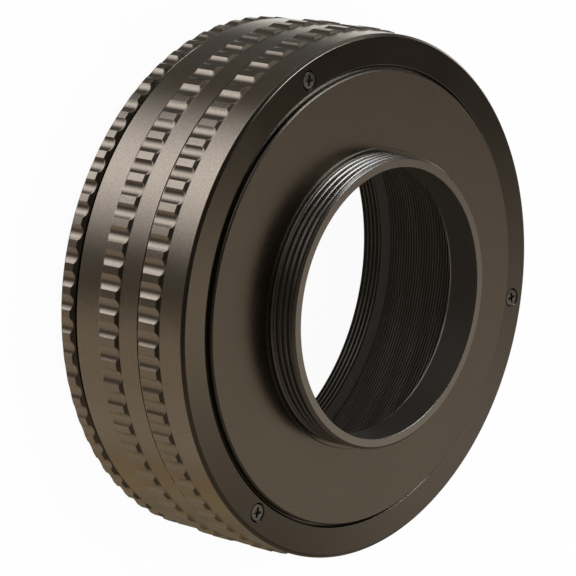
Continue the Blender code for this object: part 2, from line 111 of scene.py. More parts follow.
class Value:
    """A number socket of a shader that takes part in arithmetic."""

    def __init__(self, sheet: "Sheet", socket: bpy.types.NodeSocket) -> None:
        """Keep the sheet that holds the socket."""
        self.sheet = sheet
        self.socket = socket

    def math(self, operation: str, *others: object) -> "Value":
        """Apply a Math node to this value and others.

        Args:
            operation: The Math node's operation.
            others: Further values or numbers, in socket order.

        Returns:
            The node's result.
        """
        return self.sheet.math(operation, self, *others)

    def __add__(self, other: object) -> "Value":
        """Return the sum."""
        return self.math("ADD", other)

    __radd__ = __add__

    def __sub__(self, other: object) -> "Value":
        """Return this value less another."""
        return self.math("SUBTRACT", other)

    def __rsub__(self, other: object) -> "Value":
        """Return another value less this one."""
        return self.sheet.math("SUBTRACT", other, self)

    def __mul__(self, other: object) -> "Value":
        """Return the product."""
        return self.math("MULTIPLY", other)

    __rmul__ = __mul__

    def __truediv__(self, other: object) -> "Value":
        """Return this value over another."""
        return self.math("DIVIDE", other)

    def ramp(self, low: float, high: float) -> "Value":
        """Rise smoothly from 0 to 1 between two values.

        Args:
            low: The value at which the result is 0.
            high: The value at which it is 1, also below low.

        Returns:
            The smooth step.
        """
        return self.sheet.value(
            "ShaderNodeMapRange",
            {"interpolation_type": "SMOOTHSTEP"},
            {"Value": self, "From Min": low, "From Max": high},
        )


class Sheet:
    """A node tree that shader expressions are written on."""

    def __init__(self, tree: bpy.types.NodeTree) -> None:
        """Empty the tree."""
        self.tree = tree
        self.tree.nodes.clear()

    def node(self, kind: str, settings: Given = None, sockets: Given = None) -> bpy.types.Node:
        """Add a node.

        Args:
            kind: The node's type.
            settings: Properties, set before the sockets.
            sockets: A value, link or constant for each named or numbered input.

        Returns:
            The new node.
        """
        made = self.tree.nodes.new(kind)
        for name, setting in (settings or {}).items():
            setattr(made, name, setting)
        for name, given in (sockets or {}).items():
            if isinstance(given, Value):
                given = given.socket
            if isinstance(given, bpy.types.NodeSocket):
                self.tree.links.new(given, made.inputs[name])
            else:
                made.inputs[name].default_value = given
        return made

    def value(
        self, kind: str, settings: Given = None, sockets: Given = None, output: object = 0
    ) -> Value:
        """Add a node and return one of its outputs as a value."""
        return Value(self, self.node(kind, settings, sockets).outputs[output])

    def math(self, operation: str, *terms: object) -> Value:
        """Add a Math node on values or numbers."""
        return self.value("ShaderNodeMath", {"operation": operation}, dict(enumerate(terms)))

    def blend(
        self, share: object, first: object, second: object, mode: str = "MIX"
    ) -> bpy.types.NodeSocket:
        """Mix two colours.

        Args:
            share: How much of the second colour shows, from 0 to 1.
            first: A colour or its socket.
            second: A colour or its socket.
            mode: The blend type.

        Returns:
            The mixed colour's socket.
        """
        made = self.node(
            "ShaderNodeMix",
            {"data_type": "RGBA", "blend_type": mode},
            {0: share, 6: first, 7: second},
        )
        return made.outputs[2]

    def grey(self, level: object) -> bpy.types.NodeSocket:
        """Return a grey of a given level as a colour."""
        return self.node("ShaderNodeCombineXYZ", None, dict.fromkeys(range(3), level)).outputs[0]

    def place(self) -> tuple[Value, Value, Value]:
        """Return the point's object coordinates as three values."""
        coordinates = self.node("ShaderNodeTexCoord")
        parts = self.node("ShaderNodeSeparateXYZ", None, {0: coordinates.outputs["Object"]})
        return tuple(Value(self, parts.outputs[i]) for i in range(3))

    def noise(self, scale: float, detail: float = 2.0) -> Value:
        """Return three-dimensional noise on object coordinates.

        Args:
            scale: How many cells of the noise fill a metre.
            detail: The number of finer layers.

        Returns:
            The noise, from 0 to 1.
        """
        place = self.node("ShaderNodeTexCoord").outputs["Object"]
        return self.value(
            "ShaderNodeTexNoise", None, {"Vector": place, "Scale": scale, "Detail": detail}
        )


@dataclass(frozen=True)
class Metal:
    """A turned metal finish.

    The turning marks are a one-dimensional noise on radius plus height, which
    runs in rings on a flat face and in bands round a side. Colour and
    roughness drift slowly over the piece, a fine grain speckles it, and small
    specks of dust lighten it. The dish is the outward slope of a flat face, as
    its fall over the radius. Where a shaded root band is given, the colour
    darkens by the painted root shade between its two radii: painted shade in
    the roots of narrow grooves, where little light reaches.
    """

    name: str
    slot: str
    colour: tuple[float, float, float]
    roughness: float
    metallic: float = 1.0
    drift: float = 0.10
    speckle: float = 0.8
    mark_pitch: float = 0.12 * MM
    mark_height: float = 0.0012 * MM
    dust: float = 0.0
    dish: float = 0.0
    specular: float = 0.5
    warmth: tuple[float, float, float] = (1.0, 1.0, 1.0)
    shaded_root_band: Optional[tuple[float, float]] = None
    painted_root_shade: float = 0.75

    def material(self) -> bpy.types.Material:
        """Make the finish's material, or find it where it is known.

        Returns:
            The material.
        """
        known = bpy.data.materials.get(self.name)
        if known:
            return known
        made = bpy.data.materials.new(self.name)
        made.use_nodes = True
        sheet = Sheet(made.node_tree)
        x, y, z = sheet.place()
        radius = (x * x + y * y).math("SQRT")
        lathe = radius + z
        marks = sheet.value(
            "ShaderNodeTexNoise",
            {"noise_dimensions": "1D"},
            {"W": lathe, "Scale": 1.0 / self.mark_pitch, "Detail": 3.0, "Roughness": 0.7},
        )
        cloud = sheet.noise(CLOUD_SCALE, 3.0)
        grain = sheet.noise(GRAIN_SCALE)
        shade = 1.0 + (cloud - 0.5) * (2.0 * self.drift) + (marks - 0.5) * self.drift
        shade = shade + (grain - 0.5) * self.speckle
        # Painted shade: the colour darkens in the roots of narrow grooves, where little light
        # reaches.
        if self.shaded_root_band:
            low, high = self.shaded_root_band
            root = radius.ramp(low, low + 0.18 * MM) * radius.ramp(high, high - 0.1 * MM)
            shade = shade * (1.0 - root * self.painted_root_shade)
        colour = sheet.blend(1.0, (*self.colour, 1.0), sheet.grey(shade), "MULTIPLY")
        speck = sheet.value(
            "ShaderNodeTexVoronoi", None, {"Scale": SPECK_SCALE, "Randomness": 1.0}, "Distance"
        )
        patches = sheet.noise(SPECK_PATCH_SCALE, 1.0).ramp(0.52, 0.60)
        dust = speck.ramp(0.10, 0.05) * patches * self.dust
        colour = sheet.blend(dust, colour, DUST_COLOUR)
        rough = self.roughness + (cloud - 0.5) * 0.10 + (grain - 0.5) * 0.06 + dust * 0.2
        height = marks * self.mark_height + grain * (0.35 * self.mark_height)
        height = height - radius * self.dish
        bump = sheet.node(
            "ShaderNodeBump", None, {"Strength": 1.0, "Distance": 1.0, "Height": height}
        )
        shader = sheet.node(
            "ShaderNodeBsdfPrincipled",
            None,
            {
                "Base Color": colour,
                "Metallic": self.metallic,
                "Roughness": rough,
                "Specular IOR Level": self.specular,
                "Specular Tint": (*self.warmth, 1.0),
                "Normal": bump.outputs[0],
            },
        )
        sheet.node("ShaderNodeOutputMaterial", None, {0: shader.outputs[0]})
        return made


BRONZE = (0.114, 0.088, 0.061)
BLACKENED = {"metallic": 0.0, "mark_height": 0.0, "warmth": (1.0, 0.80, 0.58)}

RING = Metal(
    "ring_finish", "satin_anodised", BRONZE, 0.22, mark_height=0.0035 * MM, dust=0.5, dish=0.10
)
PLATE = Metal("plate_finish", "satin_anodised", BRONZE, 0.29, mark_height=0.004 * MM, dust=0.7)
THREAD = Metal("thread_finish", "thread_anodised", (0.110, 0.086, 0.062), 0.24)
NECK = Metal(
    "neck_finish",
    "thread_anodised",
    (0.150, 0.122, 0.092),
    0.24,
    metallic=0.93,
    speckle=0.2,
    mark_height=0.0,
)
MATT = Metal(
    "bore_finish", "matt_anodised", (0.022, 0.018, 0.0135), 0.65, specular=0.15, **BLACKENED
)
# The bore's fine grooves get painted shade in their roots, between the two radii of the shaded
# root band.
GROOVED = Metal(
    "groove_finish",
    "matt_anodised",
    (0.092, 0.078, 0.062),
    0.60,
    specular=0.25,
    shaded_root_band=(30.04 * MM, 31.0 * MM),
    **BLACKENED,
)
DULL = Metal(
    "dull_thread_finish", "thread_anodised", (0.036, 0.031, 0.025), 0.45, specular=0.3, **BLACKENED
)
# Painted light: the rear thread ring's bevel is coloured lighter than its thread, for the light
# that its upward slope catches.
LIT_BEVEL = Metal(
    "lit_bevel_finish", "thread_anodised", (0.105, 0.092, 0.078), 0.5, metallic=0.0, mark_height=0.0
)
BRASS = Metal("brass_finish", "key_brass", (0.52, 0.38, 0.14), 0.32)
SCREW = Metal("screw_finish", "screw_black", (0.13, 0.112, 0.09), 0.30, mark_pitch=0.05 * MM)
STEEL = Metal("steel_finish", "pin_steel", (0.48, 0.47, 0.45), 0.25)


def placed(name: str, data: bpy.types.ID) -> bpy.types.Object:
    """Return a new object that holds the data, linked to the scene."""
    made = bpy.data.objects.new(name, data)
    bpy.context.scene.collection.objects.link(made)
    return made


def wrap(
    name: str, points: np.ndarray, close_rows: bool = True, sharp: float = SHARP_ANGLE
) -> bpy.types.Object:
    """Make a surface of a grid of points that closes round the axis.

    Each quad joins a point to the next row and the next column, so that rows
    which run down an outer side face outwards. The columns always close; the
    rows close as well on a ring, and end in poles on a screw.

    Args:
        name: The piece's name.
        points: An array of rows by columns by 3, in metres.
        close_rows: Whether the last row joins the first.
        sharp: The edge angle in degrees above which shading stays sharp.

    Returns:
        The new object, at the origin.
    """
    rows, columns = points.shape[:2]
    last = rows if close_rows else rows - 1
    row = np.repeat(np.arange(last), columns)
    column = np.tile(np.arange(columns), last)
    below = (row + 1) % rows
    right = (column + 1) % columns
    loop = ((row, column), (below, column), (below, right), (row, right))
    quads = np.stack([across * columns + along for across, along in loop], axis=1)
    mesh = bpy.data.meshes.new(name)
    mesh.vertices.add(rows * columns)
    mesh.vertices.foreach_set("co", points.reshape(-1).astype(np.float32))
    mesh.loops.add(quads.size)
    mesh.loops.foreach_set("vertex_index", quads.reshape(-1))
    mesh.polygons.add(len(quads))
    mesh.polygons.foreach_set("loop_start", np.arange(len(quads)) * 4)
    mesh.update(calc_edges=True)
    if not close_rows:
        close_poles(mesh)
    mesh.shade_smooth()
    mesh.set_sharp_from_angle(angle=math.radians(sharp))
    return placed(name, mesh)


def close_poles(mesh: bpy.types.Mesh) -> None:
    """Merge the points that fall together at a mesh's poles."""
    shape = bmesh.new()
    shape.from_mesh(mesh)
    bmesh.ops.remove_doubles(shape, verts=shape.verts, dist=0.0005 * MM)
    shape.to_mesh(mesh)
    shape.free()


def revolve(radius: np.ndarray, height: np.ndarray, azimuth: np.ndarray) -> np.ndarray:
    """Turn radii and heights into points about Z.

    Args:
        radius: Radii, as rows by columns or rows by 1.
        height: Heights, as rows by columns or rows by 1.
        azimuth: One azimuth for each column.

    Returns:
        The points, as rows by columns by 3.
    """
    radius, height, azimuth = np.broadcast_arrays(radius, height, azimuth[None, :])
    return np.stack([radius * np.cos(azimuth), radius * np.sin(azimuth), height], axis=2)


def round_azimuths(count: int) -> np.ndarray:
    """Return evenly spaced azimuths for one turn."""
    return np.arange(count) * (2.0 * math.pi / count)


def rounded(corners: Corners, edge: float, steps: int = 3) -> np.ndarray:
    """Round the corners of a closed outline.

    Each corner becomes a quadratic curve whose ends lie on the two sides, an
    edge length from the corner, and whose control point is the corner. A point
    a little beyond each end holds the sides' shading flat.

    Args:
        corners: Radius and height of each corner, in metres.
        edge: How far the rounding reaches along each side.
        steps: Segments in each rounding.

    Returns:
        The rounded outline, as points by 2.
    """
    corner = np.array(corners)
    before = np.roll(corner, 1, axis=0) - corner
    after = np.roll(corner, -1, axis=0) - corner
    before_length = np.linalg.norm(before, axis=1, keepdims=True)
    after_length = np.linalg.norm(after, axis=1, keepdims=True)
    reach = np.minimum(edge, 0.4 * np.minimum(before_length, after_length))
    share = np.linspace(0.0, 1.0, steps + 1)[None, :, None]
    start = (before / before_length * reach)[:, None, :]
    end = (after / after_length * reach)[:, None, :]
    curve = corner[:, None, :] + start * (1.0 - share) ** 2 + end * share ** 2
    held = [corner[:, None, :] + HOLD * start, curve, corner[:, None, :] + HOLD * end]
    return np.concatenate(held, axis=1).reshape(-1, 2)


def refined(
    outline: np.ndarray, step: float, wanted: Callable[[np.ndarray, np.ndarray], np.ndarray]
) -> np.ndarray:
    """Add points along the parts of a closed outline that need them.

    Args:
        outline: The outline, as points by 2.
        step: The spacing of the added points.
        wanted: Says for radii and heights which added points are kept.

    Returns:
        The outline with its own points and the added ones, in order.
    """
    closed = np.vstack([outline, outline[:1]])
    along = np.concatenate([[0.0], np.cumsum(np.linalg.norm(np.diff(closed, axis=0), axis=1))])

    def at(stops: np.ndarray) -> np.ndarray:
        """Return the outline's radii and heights at lengths along it."""
        return np.stack([np.interp(stops, along, closed[:, i]) for i in (0, 1)], axis=1)

    extra = np.arange(step, along[-1], step)
    keep = wanted(*at(extra).T)
    stops = np.unique(np.concatenate([along[:-1], extra[keep]]))
    gap = np.diff(stops, append=along[-1])
    return at(stops[gap > 0.001 * MM])


def carve(piece: bpy.types.Object, cutters: Sequence[bpy.types.Object]) -> None:
    """Cut closed shapes out of a piece and leave it a plain mesh.

    Args:
        piece: The piece that is cut.
        cutters: The closed shapes, which are removed afterwards.
    """
    for cutter in cutters:
        boolean = piece.modifiers.new(cutter.name, "BOOLEAN")
        boolean.operation = "DIFFERENCE"
        boolean.solver = "MANIFOLD"
        boolean.object = cutter
    graph = bpy.context.evaluated_depsgraph_get()
    mesh = bpy.data.meshes.new_from_object(piece.evaluated_get(graph))
    mesh.name = piece.name
    piece.modifiers.clear()
    piece.data = mesh
    mesh.shade_smooth()
    mesh.set_sharp_from_angle(angle=math.radians(SHARP_ANGLE))
    for cutter in cutters:
        bpy.data.objects.remove(cutter, do_unlink=True)


def reach_of(node: str) -> float:
    """Return how far a CAD node reaches from the axis along X or Y."""
    low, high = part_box(node)
    return max(-low[0], -low[1], high[0], high[1])


def heights_of(node: str) -> tuple[float, float]:
    """Return a CAD node's lowest and highest level."""
    low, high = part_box(node)
    return low[2], high[2]


@dataclass
class Piece:
    """One visible piece: how it is named, finished and carried."""

    name: str
    body: Body
    finish: Metal
    node: str
    linings: tuple[tuple[Metal, float], ...] = ()

    def settle(self, made: bpy.types.Object) -> bpy.types.Object:
        """Dress a finished mesh, let it ride and let it stand for its node.

        Args:
            made: The piece's object.

        Returns:
            The same object.
        """
        made.data.materials.clear()
        made.data.materials.append(self.finish.material())
        for number, (metal, radius) in enumerate(self.linings, start=1):
            made.data.materials.append(metal.material())
            self.line(made.data, radius, number)
        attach(made, self.body.value)
        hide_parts(self.node)
        LOG.info("%s: %d faces, rides on %s", made.name, len(made.data.polygons), self.body.value)
        return made

    @staticmethod
    def line(mesh: bpy.types.Mesh, radius: float, number: int) -> None:
        """Give a finish to every face whose middle lies within a radius.

        Args:
            mesh: The piece's mesh.
            radius: How far the finish reaches from the axis.
            number: The finish's place among the mesh's materials.
        """
        middles = np.empty(len(mesh.polygons) * 3, dtype=np.float32)
        mesh.polygons.foreach_get("center", middles)
        middles = middles.reshape(-1, 3)
        chosen = np.zeros(len(mesh.polygons), dtype=np.int32)
        mesh.polygons.foreach_get("material_index", chosen)
        chosen[np.hypot(middles[:, 0], middles[:, 1]) < radius] = number
        mesh.polygons.foreach_set("material_index", chosen)
        mesh.update()


@dataclass(frozen=True)
class Thread:
    """A helical thread, as the depth of its groove at a height and azimuth.

    The groove is a trapezoid in the phase (height less lead times turns) over
    pitch: nothing on the crest, full depth on the root, flanks between that
    run softly into both, and it runs out over about a pitch at both ends.
    """

    pitch: float
    depth: float
    low: float
    high: float
    starts: int = 1
    hand: Hand = Hand.RIGHT
    crest: float = 0.14
    root: float = 0.14
    runout: float = 1.0

    def depth_at(self, height: np.ndarray, azimuth: np.ndarray) -> np.ndarray:
        """Find the groove's depth.

        Args:
            height: Heights on the threaded side.
            azimuth: Azimuths, of a shape that broadcasts with the heights.

        Returns:
            The depth at each height and azimuth.
        """
        lead = self.pitch * self.starts
        climb = self.hand.value * lead * azimuth / (2.0 * math.pi)
        phase = (height - climb) / self.pitch
        fold = np.abs(phase - np.floor(phase) - 0.5) * 2.0
        groove = np.clip((1.0 - fold - self.crest) / (1.0 - self.crest - self.root), 0.0, 1.0)
        groove = groove ** 2 * (3.0 - 2.0 * groove)
        into = np.clip((height - self.low) / (self.pitch * self.runout), 0.0, 1.0)
        out = np.clip((self.high - height) / (self.pitch * self.runout), 0.0, 1.0)
        return self.depth * groove * into * out


@dataclass
class GripRing:
    """A ring with one scalloped grip band, turned from its outline.

    The outer side is the smaller of the turned outline's radius and the
    flute's radius. A flute is a circle whose centre lies outside the ring, so
    its radius at an offset from the flute's middle is centre times cosine
    less the root of (circle squared less (centre times sine) squared).
    """

    piece: Piece
    corners: Corners
    band_radius: float
    grip_radius: float
    phase: float = 0.0
    flutes: int = 72
    flute_depth: float = 0.40 * MM
    flute_width: float = 2.2 * MM
    edge: float = EDGE_ROUNDING
    row_step: float = 0.08 * MM
    land_columns: int = 3
    flute_columns: int = 9

    def columns(self) -> tuple[np.ndarray, np.ndarray]:
        """Spread columns over every flute and the land beside it.

        Returns:
            The azimuth of each column, and the flute's radius there.
        """
        circle = ((self.flute_width / 2.0) ** 2 + self.flute_depth ** 2) / (2.0 * self.flute_depth)
        centre = self.grip_radius - self.flute_depth + circle
        span = 2.0 * math.pi / self.flutes
        half = self.flute_width / 2.0 / self.grip_radius
        land = np.linspace(-span / 2.0, -half, self.land_columns, endpoint=False)
        turn = np.linspace(-1.0, 1.0, self.flute_columns + 1)
        other = np.linspace(half, span / 2.0, self.land_columns, endpoint=False)[1:]
        offset = np.concatenate([land, half * np.sin(turn * math.pi / 2.0), other])
        inside = np.abs(offset) <= half * 1.0001
        root = np.sqrt(np.maximum(circle ** 2 - (centre * np.sin(offset)) ** 2, 0.0))
        floor = np.where(inside, centre * np.cos(offset) - root, self.grip_radius)
        middle = self.phase + span * (np.arange(self.flutes) + 0.5)
        azimuth = (middle[:, None] + offset[None, :]).reshape(-1)
        return azimuth, np.tile(floor, self.flutes)

    def build(self) -> bpy.types.Object:
        """Make the ring.

        Returns:
            One closed surface.
        """
        azimuth, floor = self.columns()
        low = self.band_radius + 2.0 * ON_SIDE
        high = self.grip_radius - ON_SIDE
        line = refined(
            rounded(self.corners, self.edge),
            self.row_step,
            lambda radius, height: (radius > low) & (radius < high),
        )
        radius = np.minimum(line[:, :1], np.maximum(floor, self.band_radius)[None, :])
        return wrap(self.piece.name, revolve(radius, line[:, 1:], azimuth))


@dataclass
class TurnedRing:
    """A plain or threaded ring, turned from its outline.

    A thread's groove is taken from the radius on an outer side and added to
    it on an inner side, at the rows that lie on that side.
    """

    piece: Piece
    corners: Corners
    edge: float = EDGE_ROUNDING
    columns: int = 256
    outer_thread: Optional[Thread] = None
    inner_thread: Optional[Thread] = None
    row_step: float = 0.05 * MM
    sharp: float = SHARP_ANGLE

    def build(self) -> bpy.types.Object:
        """Make the ring.

        Returns:
            One closed surface.
        """
        outer = self._radius_of(self.outer_thread, max)
        inner = self._radius_of(self.inner_thread, min)
        line = refined(
            rounded(self.corners, self.edge),
            self.row_step,
            lambda radius, height: self._threaded(radius, height, outer, inner),
        )
        azimuth = round_azimuths(self.columns)
        radius = np.repeat(line[:, :1], self.columns, axis=1)
        height = line[:, 1:]
        cuts = ((self.outer_thread, outer, -1.0), (self.inner_thread, inner, 1.0))
        for thread, side, way in cuts:
            if thread:
                groove = thread.depth_at(height, azimuth[None, :])
                radius += way * groove * (np.abs(line[:, :1] - side) < ON_SIDE)
        return wrap(self.piece.name, revolve(radius, height, azimuth), sharp=self.sharp)

    def _radius_of(self, thread: Optional[Thread], pick: Callable) -> float:
        """Find the radius of the side that a thread is cut in.

        Args:
            thread: The thread, or None.
            pick: Chooses between the sides at the thread's middle.

        Returns:
            The side's radius, or 0 without a thread.
        """
        if not thread:
            return 0.0
        middle = (thread.low + thread.high) / 2.0
        sides = [
            a[0]
            for a, b in zip(self.corners, self.corners[1:] + self.corners[:1])
            if abs(a[0] - b[0]) < 0.001 * MM and min(a[1], b[1]) < middle < max(a[1], b[1])
        ]
        return pick(sides)

    def _threaded(
        self, radius: np.ndarray, height: np.ndarray, outer: float, inner: float
    ) -> np.ndarray:
        """Say which points lie on a side between a thread's two ends.

        Args:
            radius: The points' radii.
            height: The points' heights.
            outer: The radius of the outer thread's side.
            inner: The radius of the inner thread's side.

        Returns:
            True for each point that a thread crosses.
        """
        found = np.zeros(radius.shape, dtype=bool)
        for thread, side in ((self.outer_thread, outer), (self.inner_thread, inner)):
            if thread:
                on_side = np.abs(radius - side) < ON_SIDE
                found |= on_side & (height > thread.low) & (height < thread.high)
        return found


@dataclass
class CountersunkScrew:
    """A small countersunk screw with a cross recess in its head.

    The head's top is a height field over polar rows: the recess is the union
    of two crossed bars whose depth falls off towards their ends, and the rows
    go on down the cone and the shank to a pole at the tip.
    """

    piece: Piece
    turn: float
    crown: float = 0.04 * MM
    rim: float = 0.06 * MM
    rim_inset: float = 0.02 * MM
    rim_levels: tuple[float, float] = (0.055 * MM, 0.09 * MM)
    tip_bevel: float = 0.1 * MM
    recess_length: float = 1.55 * MM
    recess_width: float = 0.36 * MM
    recess_depth: float = 0.5 * MM
    recess_wall: float = 0.06 * MM
    recess_slope: float = 0.25 * MM
    columns: int = 96
    rows: int = 30

    def recess(self, across: np.ndarray, along: np.ndarray) -> np.ndarray:
        """Find the recess's depth at places on the head.

        Args:
            across: Distances from the head's middle across one bar.
            along: Distances from it along that bar.

        Returns:
            The depth at each place.
        """

        def bar(first: np.ndarray, second: np.ndarray) -> np.ndarray:
            """Return one bar's share, with steep walls and a sloping floor."""
            wall = (self.recess_width / 2.0 - np.abs(first)) / self.recess_wall + 0.5
            end = (self.recess_length / 2.0 - np.abs(second)) / self.recess_slope
            return np.clip(wall, 0.0, 1.0) * np.clip(end, 0.0, 1.0)

        return self.recess_depth * np.maximum(bar(across, along), bar(along, across))

    def build(self) -> bpy.types.Object:
        """Make the screw, upright or head down.

        Returns:
            One closed surface.
        """
        low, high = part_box(self.piece.node)
        centre_x = (low[0] + high[0]) / 2.0
        centre_y = (low[1] + high[1]) / 2.0
        head_down = self.piece.body is Body.REAR
        length = high[2] - low[2]
        azimuth = round_azimuths(self.columns)
        ring = np.linspace(0.0, SCREW_HEAD_RADIUS - self.rim, self.rows)[:, None]
        across = ring * np.cos(azimuth - self.turn)[None, :]
        along = ring * np.sin(azimuth - self.turn)[None, :]
        crown = self.crown * (1.0 - (ring / SCREW_HEAD_RADIUS) ** 2)
        top = crown - self.crown - self.recess(across, along)
        below = np.array(
            [
                (SCREW_HEAD_RADIUS - self.rim_inset, -self.rim_levels[0]),
                (SCREW_HEAD_RADIUS, -self.rim_levels[1]),
                (SCREW_SHANK_RADIUS, -SCREW_HEAD_HEIGHT),
                (SCREW_SHANK_RADIUS, -length + self.tip_bevel),
                (SCREW_SHANK_RADIUS - self.tip_bevel, -length),
                (0.0, -length),
            ]
        )
        side = np.repeat(below[:, :, None], self.columns, axis=2)
        radius = np.concatenate([np.repeat(ring, self.columns, axis=1), side[:, 0]])
        drop = np.concatenate([top, side[:, 1]])
        points = revolve(radius, drop, azimuth)
        if head_down:
            points *= np.array([1.0, -1.0, -1.0])
        base = low[2] if head_down else high[2]
        points += np.array([centre_x, centre_y, base])
        return wrap(self.piece.name, points, close_rows=False)


def helicoid(low: float, high: float, hand: Hand) -> Thread:
    """Return the twelve-start thread of a barrel between two heights."""
    return Thread(1.25 * MM, 0.45 * MM, low, high, 12, hand, crest=0.2, root=0.2, runout=0.4)


@dataclass
class RearAssembly:
    """The rear grip ring, the rear thread ring, the rear barrel and its screws."""

    drop: float = 0.42 * MM
    rear_bevel: float = 1.3 * MM
    flange: float = 1.3 * MM
    thread_wall: float = 3.6 * MM
    thread_bevel: float = 1.4 * MM
    thread_relief: float = 0.7 * MM
    thread_mouth: float = 0.25 * MM
    barrel_wall: float = 1.8 * MM
    foot_height: float = 1.1 * MM
    phase: float = math.radians(1.2)
    screw_turns: tuple[float, ...] = (0.3, 1.1, 0.7)

    def build(self) -> list[bpy.types.Object]:
        """Build, dress and place the rear body's pieces."""
        rings = [self.grip_ring(), self.thread_ring(), self.barrel()]
        return rings + make_screws("rear_screw", Body.REAR, self.screw_turns)

    def grip_ring(self) -> bpy.types.Object:
        """Build the scalloped rear ring.

        Returns:
            The finished ring.
        """
        _, top = heights_of("rear_grip_ring")
        crest = reach_of("focus_ring") - self.drop
        shell = reach_of("focus_ring") - GRIP_HEIGHT - SHELL_WALL
        bore = reach_of("rear_mount_ring") + RUNNING_GAP
        corners = [
            (shell, top),
            (crest - GRIP_CHAMFER, top),
            (crest, top - GRIP_CHAMFER),
            (crest, self.rear_bevel),
            (crest - self.rear_bevel, 0.0),
            (bore, 0.0),
            (bore, self.flange),
            (shell, self.flange),
        ]
        piece = Piece("rear_grip_ring_skin", Body.REAR, RING, "rear_grip_ring")
        band = crest - self.rear_bevel
        ring = GripRing(piece, corners, band, crest, self.phase, row_step=0.10 * MM).build()
        carve(ring, [screw_seat(f"rear_screw_{n}", True) for n in (1, 2, 3)])
        return piece.settle(ring)

    def thread_ring(self) -> bpy.types.Object:
        """Build the rear thread ring with its female thread and front bevel.

        Returns:
            The finished ring.
        """
        _, top = heights_of("rear_mount_ring")
        outer = reach_of("rear_mount_ring")
        crest = outer - self.thread_wall
        thread_top = top - self.thread_relief
        corners = [
            (outer, top),
            (outer, 0.0),
            (crest + self.thread_mouth, 0.0),
            (crest, self.thread_mouth),
            (crest, thread_top),
            (crest + self.thread_bevel, top),
        ]
        thread = Thread(0.75 * MM, 0.40 * MM, -0.3 * MM, thread_top, runout=0.3)
        linings = ((DULL, crest + 0.45 * MM),)
        piece = Piece("rear_thread_ring_skin", Body.REAR, LIT_BEVEL, "rear_mount_ring", linings)
        return piece.settle(TurnedRing(piece, corners, FINE_ROUNDING, inner_thread=thread).build())

    def barrel(self) -> bpy.types.Object:
        """Build the rear barrel with its outer helicoid and inner key slots.

        Returns:
            The finished barrel.
        """
        low, top = heights_of("rear_barrel")
        foot = reach_of("rear_barrel")
        bore = reach_of("rear_mount_ring") + RUNNING_GAP
        outer = bore + self.barrel_wall
        foot_top = low + self.foot_height
        corners = [
            (outer, top),
            (outer, foot_top),
            (foot, foot_top),
            (foot, low),
            (bore, low),
            (bore, top),
        ]
        thread = helicoid(foot_top, top, Hand.RIGHT)
        piece = Piece("rear_barrel_skin", Body.REAR, THREAD, "rear_barrel")
        barrel = TurnedRing(piece, corners, outer_thread=thread, row_step=0.12 * MM).build()
        carve(barrel, key_slots(foot_top, top + 1.0 * MM))
        return piece.settle(barrel)


@dataclass
class FocusAssembly:
    """The focus ring and the sleeve under it."""

    rear_band: float = 4.17 * MM
    grip_length: float = 3.93 * MM
    sleeve_wall: float = 1.4 * MM
    nut_wall: float = 0.7 * MM

    def build(self) -> list[bpy.types.Object]:
        """Build, dress and place the focus body's pieces."""
        return [self.grip_ring(), self.sleeve()]

    def grip_ring(self) -> bpy.types.Object:
        """Build the focus ring: two smooth bands with the grip band between.

        Returns:
            The finished ring.
        """
        low, top = heights_of("focus_ring")
        outer = reach_of("focus_ring")
        band = outer - GRIP_HEIGHT
        grip_low = low + self.rear_band
        grip_top = grip_low + self.grip_length
        corners = [
            (band - SHELL_WALL, top),
            (band, top),
            (band, grip_top),
            (outer, grip_top - GRIP_CHAMFER),
            (outer, grip_low + GRIP_CHAMFER),
            (band, grip_low),
            (band, low),
            (band - SHELL_WALL, low),
        ]
        piece = Piece("focus_ring_skin", Body.FOCUS, RING, "focus_ring")
        return piece.settle(GripRing(piece, corners, band, outer).build())

    def sleeve(self) -> bpy.types.Object:
        """Build the sleeve that the focus ring sits on.

        Returns:
            The finished sleeve.
        """
        low, top = heights_of("focus_sleeve")
        outer = reach_of("focus_ring") - GRIP_HEIGHT - SHELL_WALL - RUNNING_GAP
        bore = outer - self.sleeve_wall
        nut_bore = outer - self.nut_wall
        shoulder = heights_of("rear_barrel")[1]
        corners = [
            (outer, top),
            (outer, low),
            (bore, low),
            (bore, shoulder),
            (nut_bore, shoulder),
            (nut_bore, top),
        ]
        piece = Piece("focus_sleeve_skin", Body.FOCUS, THREAD, "focus_sleeve")
        return piece.settle(TurnedRing(piece, corners).build())


